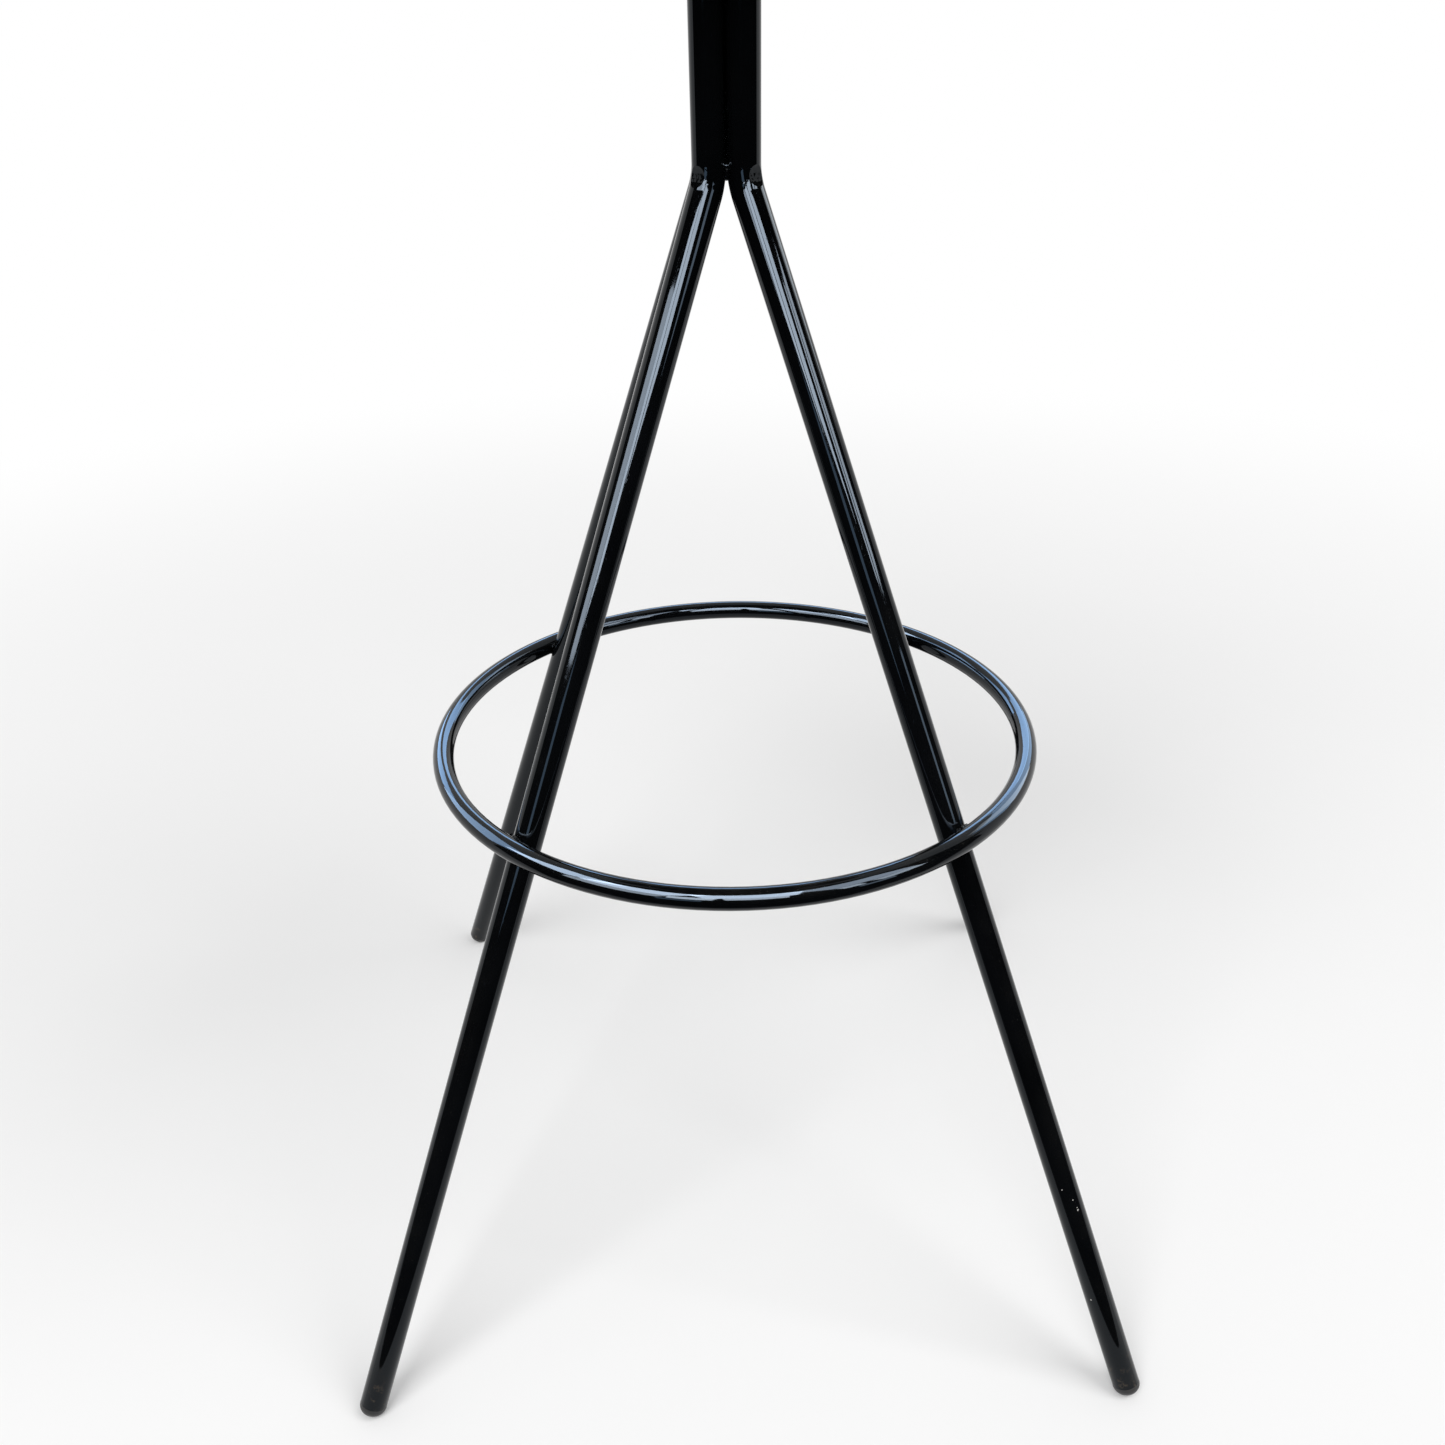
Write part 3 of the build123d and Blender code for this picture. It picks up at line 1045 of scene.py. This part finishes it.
def sewRows():
    blank = fresh(
        bpy.ops.mesh.primitive_uv_sphere_add, "coverStitches", segments=8, ring_count=6, radius=0.5,
        scale=(stitchSize["wide"], stitchSize["high"], stitchSize["long"]))
    stitches = []
    rows = ((stitchSize["topRow"], None), (coverSize["side"], stitchSize["bandRow"]))
    for radius, height in rows:
        count = round(2 * pi * radius / stitchSize["pitch"])
        for step in range(count):
            angle = 2 * pi * (step + 0.5) / count
            level = crownAt(radius) if height is None else height
            spot = onRing(angle, radius, level)
            run = Vector((-sin(angle), cos(angle), 0))
            stitches.append(layStitch(blank, spot, run, len(stitches)))
    tall = stitchSize["bandRow"] - stitchSize["joinGap"] - stitchSize["joinFrom"]
    for side in (-stitchSize["joinRow"], stitchSize["joinRow"]):
        for step in range(int(tall / stitchSize["pitch"])):
            level = stitchSize["joinFrom"] + stitchSize["pitch"] * step
            spot = Vector((side, coverSize["side"], level))
            stitches.append(layStitch(blank, spot, Vector((0, 0, 1)), len(stitches)))
    bpy.data.objects.remove(blank)
    return joinAll(stitches, "coverStitches")


coverStitches = sewRows()
smooth(coverStitches)
finish(coverStitches, sewingThread)
print("stitches:", len(coverStitches.data.polygons), "faces")

# dust cloth: an open-centred disc of thin cloth, both edges turned over and stapled

clothSize = {
    "segments": 192,
    "thick": 0.0005,
    # radius and height of each ring, from the raw inner edge to the raw outer edge
    "rings": ((0.1095, 0.72445), (0.1045, 0.72445), (0.1033, 0.72412), (0.1045, 0.7238), (0.1105, 0.7238),
              (0.118, 0.7237), (0.125, 0.7235), (0.131, 0.7231), (0.137, 0.7224), (0.143, 0.7219),
              (0.1495, 0.7218), (0.1545, 0.7218), (0.1592, 0.7218), (0.1604, 0.72213), (0.1592, 0.72245),
              (0.153, 0.72245)),
    "outerStaples": 28,
    "innerStaples": 16,
    "outerRow": 0.1562,
    "innerRow": 0.1068,
    # radius where the pull of each row of staples starts, and how far it takes to reach full
    "outerPull": (0.14, 0.02),
    "innerPull": (0.118, 0.015),
    "lift": 0.00022,
    "stray": 0.00025,
    "strayTurn": 9,
    "strayFade": 0.6,
    "drawFrom": 0.15,
    "draw": 0.0035,  # share of the radius that the edge gives way between staples
    "cut": 0.334,  # width of the square it is cut from
    "area": 0.0581,
}


def dustClothBlank():
    radius, height = clothSize["rings"][0]
    cloth = fresh(
        bpy.ops.mesh.primitive_circle_add, "dustCloth",
        vertices=clothSize["segments"], radius=radius, location=(0, 0, height))
    pickEdges(cloth, lambda a, b: True)
    for radius, height in clothSize["rings"][1:]:
        ringOut(radius, height)
    backToObject()
    return cloth


def pullTaut(cloth):
    # drawn up at each staple, and in shallow waves between them
    outerFrom, outerReach = clothSize["outerPull"]
    innerFrom, innerReach = clothSize["innerPull"]
    for spot in cloth.data.vertices:
        radius, angle = ringPlace(spot)
        outer = max(0.0, (radius - outerFrom) / outerReach)
        inner = max(0.0, (innerFrom - radius) / innerReach)
        wave = outer * cos(clothSize["outerStaples"] * angle) + inner * cos(clothSize["innerStaples"] * angle)
        stray = clothSize["stray"] * puckers(angle + radius * clothSize["strayTurn"], pullWaves)
        loose = 1 - min(1.0, outer + inner) * clothSize["strayFade"]
        spot.co.z += clothSize["lift"] * wave + stray * loose
        if radius > clothSize["drawFrom"]:
            draw = 1 - clothSize["draw"] * (1 - cos(clothSize["outerStaples"] * angle)) / 2 * outer
            spot.co.x *= draw
            spot.co.y *= draw
    cloth.data.update()


dustCover = dustClothBlank()
applyModifier(dustCover, "SUBSURF", levels=1, render_levels=1)
pullTaut(dustCover)
facesOutward(dustCover)
applyModifier(dustCover, "SOLIDIFY", thickness=clothSize["thick"], offset=0.0)
smooth(dustCover)
finish(dustCover, dustCloth)
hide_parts("dust_cover")
print("dust cloth stretched")

# staples through both hems of the dust cloth

stapleSize = {
    "long": 0.0104,
    "wide": 0.0012,
    "high": 0.0006,
    "leg": 0.0045,
    "corner": 0.00025,
    "cornerSteps": 2,
    "skew": 0.14,  # most that a staple is off its row's line, in radians
    "skewStep": 2.4,
    "innerSkew": 0.1,
    "sunk": 0.45,  # share of its height
    "from": 0.7,  # a height under the cloth, from which its place is found
}


def stapleBlank():
    blank = fresh(
        bpy.ops.mesh.primitive_cube_add, "dustStaples", size=1,
        scale=(stapleSize["long"], stapleSize["wide"], stapleSize["high"]))
    inward = stapleSize["long"] / 2 - stapleSize["high"]
    for side in (-inward, inward):
        pickFaces(blank, lambda c, n: True)
        bpy.ops.mesh.bisect(plane_co=(side, 0, 0), plane_no=(1, 0, 0))
        backToObject()
    pickFaces(blank, lambda c, n: n.z > 0.9 and abs(c.x) > inward)
    bpy.ops.mesh.extrude_region_move(TRANSFORM_OT_translate={"value": (0, 0, stapleSize["leg"])})
    backToObject()
    # the outer edges underneath, but not the cuts where the legs start
    hair = 0.00001
    under = -stapleSize["high"] / 2 + hair
    pickEdges(blank, lambda a, b: a.z < under and b.z < under and (
        abs(a.x - b.x) < hair and abs(a.x) > inward + 0.0001 or abs(a.y - b.y) < hair))
    bpy.ops.mesh.bevel(offset=stapleSize["corner"], segments=stapleSize["cornerSteps"])
    backToObject()
    return blank


def stapleHems():
    blank = stapleBlank()
    staples = []
    rows = ((clothSize["outerRow"], clothSize["outerStaples"], 0.0),
            (clothSize["innerRow"], clothSize["innerStaples"], stapleSize["innerSkew"]))
    for radius, count, lean in rows:
        for step in range(count):
            angle = 2 * pi * step / count
            skew = stapleSize["skew"] * sin(step * stapleSize["skewStep"]) + lean
            spot = onRing(angle, radius, stapleSize["from"])
            place = dustCover.closest_point_on_mesh(spot)[1]
            staple = copyOf(blank, f"staple{len(staples)}")
            staple.data.transform(
                Matrix.Translation((spot.x, spot.y, place.z - stapleSize["high"] * stapleSize["sunk"]))
                @ Matrix.Rotation(angle + pi / 2 + skew, 4, "Z"))
            staples.append(staple)
    bpy.data.objects.remove(blank)
    return joinAll(staples, "dustStaples")


dustStaples = stapleHems()
smooth(dustStaples, 40)
finish(dustStaples, zincPlate)
print("staples driven")

# camera, floor and light

cameraPlace = {
    "spot": (-0.013563, -0.654981, 0.70145),
    "down": 34.687,  # degrees below level
    "right": 0.4655,  # degrees turned from +Y towards +X
    "roll": 1.192,
    "lens": 30.89,
    "sensor": 36.0,
    "shift": 0.08824,
    "near": 0.02,
    "far": 400.0,
}
deselectAll()
bpy.ops.object.camera_add(location=cameraPlace["spot"])
camera = bpy.context.object
camera.name = "studioCamera"
turned = (Matrix.Rotation(radians(-cameraPlace["right"]), 4, "Z")
          @ Matrix.Rotation(radians(90 - cameraPlace["down"]), 4, "X")
          @ Matrix.Rotation(radians(-cameraPlace["roll"]), 4, "Z"))
camera.rotation_euler = turned.to_euler()
camera.data.lens = cameraPlace["lens"]
camera.data.sensor_width = cameraPlace["sensor"]
camera.data.shift_y = cameraPlace["shift"]
camera.data.clip_start = cameraPlace["near"]
camera.data.clip_end = cameraPlace["far"]
bpy.context.scene.camera = camera

floorLook = {
    "size": 300.0,
    "colour": (0.86, 0.86, 0.86, 1.0),
    "patch": (0.88, 0.88, 0.88, 1.0),
    "patches": (3.0, 3.0, 0.5),
    "rough": 0.85,
    "shine": 0.1,
    "fade": (0.6, 2.2),  # distances over which the floor fades into the white behind it
}
white = (1.0, 1.0, 1.0, 1.0)


def seenDirectly(tree):
    # camera, mirror and glass rays, which see the white background
    paths = tree.nodes.new("ShaderNodeLightPath")
    seen = mathNode(tree, "MAXIMUM", paths.outputs["Is Camera Ray"], paths.outputs["Is Glossy Ray"])
    return mathNode(tree, "MAXIMUM", seen, paths.outputs["Is Transmission Ray"])


def floorMaterial():
    material, tree, shader, place = newMaterial("studioFloor")
    tone = noiseNode(tree, place, *floorLook["patches"])
    colour = mixColour(tree, tone, floorLook["colour"], floorLook["patch"])
    setShader(tree, shader, colour, floorLook["rough"], Specular_IOR_Level=floorLook["shine"])
    away = vectorNode(tree, "LENGTH", place)
    fade = rangeNode(tree, away.outputs["Value"], *floorLook["fade"])
    behind = addNode(tree, "Emission", Color=white, Strength=1.0)
    blend = tree.nodes.new("ShaderNodeMixShader")
    parts = (times(tree, fade, seenDirectly(tree)), shader.outputs[0], behind.outputs[0])
    for socket, part in zip(blend.inputs, parts):
        tree.links.new(part, socket)
    tree.links.new(blend.outputs[0], tree.nodes["Material Output"].inputs["Surface"])
    return material


studioFloor = fresh(bpy.ops.mesh.primitive_plane_add, "studioFloor", size=floorLook["size"])
studioFloor.data.materials.append(floorMaterial())

# colours of the light, from plain to sky blue
plainTint, paleTint, skyTint, deepTint = (1.0, 1.0, 1.0), (0.86, 0.92, 1.0), (0.8, 0.88, 1.0), (0.34, 0.6, 1.0)

# lamps light the stool and the floor; cards only show in the gloss of the enamel, ringCards in that of the ring
softboxes = {
    # name: degrees round from behind the stool, degrees up, wide, tall, brightness, colour, what it works on
    "keyLamp": (-150, 50, 30, 30, 6.0, plainTint, "lamp"),
    "fillLamp": (115, 55, 30, 30, 3.9, plainTint, "lamp"),
    "backLeft": (-38, 22, 26, 16, 10.0, deepTint, "ringCard"),
    "backRight": (8, 28, 34, 12, 10.0, deepTint, "ringCard"),
    "skyLeft": (-135, 27, 33, 18, 17.0, paleTint, "card"),
    "skyNear": (-163, 28, 15, 19, 28.0, paleTint, "card"),
    "skyFront": (174, 29, 20, 15, 26.0, paleTint, "card"),
    "skyRight": (140, 28, 8, 14, 20.0, paleTint, "card"),
    "skySide": (121, 28, 16, 15, 18.0, paleTint, "card"),
    "edgeRight": (58, 28, 18, 30, 5.0, (0.86, 0.94, 1.0), "card"),
    "lowRight": (133, 13, 13, 9, 6.0, (0.7, 0.84, 1.0), "card"),
    "lowNear": (-160, 9, 15, 12, 3.5, (0.55, 0.76, 1.0), "card"),
    "highLeft": (-135, 51, 29, 28, 40.0, skyTint, "ringCard"),
    "highFront": (176, 51, 29, 28, 40.0, skyTint, "ringCard"),
    "highRight": (128, 51, 29, 28, 15.0, skyTint, "ringCard"),
    "highSide": (-98, 48, 26, 28, 34.0, (0.74, 0.85, 1.0), "ringCard"),
    "lowSide": (-70, 29, 34, 32, 13.0, (0.46, 0.68, 1.0), "ringCard"),
    "lowSideRight": (50, 28, 44, 24, 6.0, (0.4, 0.65, 1.0), "ringCard"),
}
softboxReach = 6.0  # from the middle of the stool
stoolMiddle = Vector((0, 0, 0.4))
lit = {"ringCard": bpy.data.collections.new("ringOnly"), "card": bpy.data.collections.new("enamelOnly")}
lit["ringCard"].objects.link(nodes["foot_ring"])
for piece in bpy.context.scene.objects:
    if piece.type == "MESH" and piece.data.materials and piece.data.materials[0] in (enamel, chippedEnamel):
        lit["card"].objects.link(piece)
for lampName, (around, up, wide, tall, bright, colour, work) in softboxes.items():
    toLamp = Vector((
        sin(radians(around)) * cos(radians(up)), cos(radians(around)) * cos(radians(up)), sin(radians(up))))
    deselectAll()
    bpy.ops.object.light_add(type="AREA", location=stoolMiddle + toLamp * softboxReach)
    lamp = bpy.context.object
    lamp.name = lampName
    lamp.rotation_euler = (-toLamp).to_track_quat("-Z", "Y").to_euler()
    lamp.visible_camera = False
    lamp.visible_diffuse = work == "lamp"
    lamp.visible_glossy = work != "lamp"
    if work != "lamp":
        lamp.light_linking.receiver_collection = lit[work]
    lamp.data.shape = "RECTANGLE"
    lamp.data.size = 2 * softboxReach * tan(radians(wide / 2))
    lamp.data.size_y = 2 * softboxReach * tan(radians(tall / 2))
    lamp.data.energy = bright * pi * lamp.data.size * lamp.data.size_y
    lamp.data.color = colour

# painted dark reflection: a dark sheet in front of the stool, seen only in gloss, keeps the black deep
flagLook = {
    "tent": 9.0,  # radius of the dark tent behind the cards
    "floorHeight": 0.003,
    "back": 0.4,  # how far towards +Y it reaches
    "floorFrom": 0.34,  # the cloth on the floor starts this far in front
    "cloth": (0.012, 0.012, 0.013, 1.0),
    "darkSheetPaler": (0.02, 0.02, 0.021, 1.0),
    "weave": (40.0, 3.0, 0.6),
}


# painted dark reflection: the sheet's colour is seen nowhere but in gloss
def flagMaterial():
    material, tree, shader, place = newMaterial("darkReflectionSheet")
    weave = noiseNode(tree, place, *flagLook["weave"])
    colour = mixColour(tree, weave, flagLook["cloth"], flagLook["darkSheetPaler"])
    setShader(tree, shader, colour, 1.0, Specular_IOR_Level=0.0)
    return material


def raiseFlag(flag):
    pickFaces(flag, lambda c, n: c.y > flagLook["back"] or c.z < 0)
    bpy.ops.mesh.delete(type="FACE")
    backToObject()
    flag.data.materials.append(darkReflectionSheet)
    flag.visible_camera = False
    flag.visible_diffuse = False
    flag.visible_shadow = False
    flag.visible_transmission = False


darkReflectionSheet = flagMaterial()
raiseFlag(fresh(
    bpy.ops.mesh.primitive_uv_sphere_add, "flagTent", segments=64, ring_count=32, radius=flagLook["tent"]))
deep = flagLook["tent"] - flagLook["floorFrom"]
raiseFlag(fresh(
    bpy.ops.mesh.primitive_grid_add, "flagFloor", x_subdivisions=8, y_subdivisions=4, size=1,
    scale=(2 * flagLook["tent"], deep, 1),
    location=(0, -flagLook["floorFrom"] - deep / 2, flagLook["floorHeight"])))

worldLook = {"fill": 0.5}  # its light on the object; seen directly it is plain white
world = bpy.data.worlds.new("studioWorld")
bpy.context.scene.world = world
world.use_nodes = True
sky = world.node_tree
seen = seenDirectly(sky)
background = sky.nodes["Background"]
background.inputs["Color"].default_value = white
sky.links.new(rangeNode(sky, seen, 0.0, 1.0, worldLook["fill"], 1.0), background.inputs["Strength"])
bpy.context.scene.view_settings.view_transform = "Standard"
print("camera, floor and light placed")
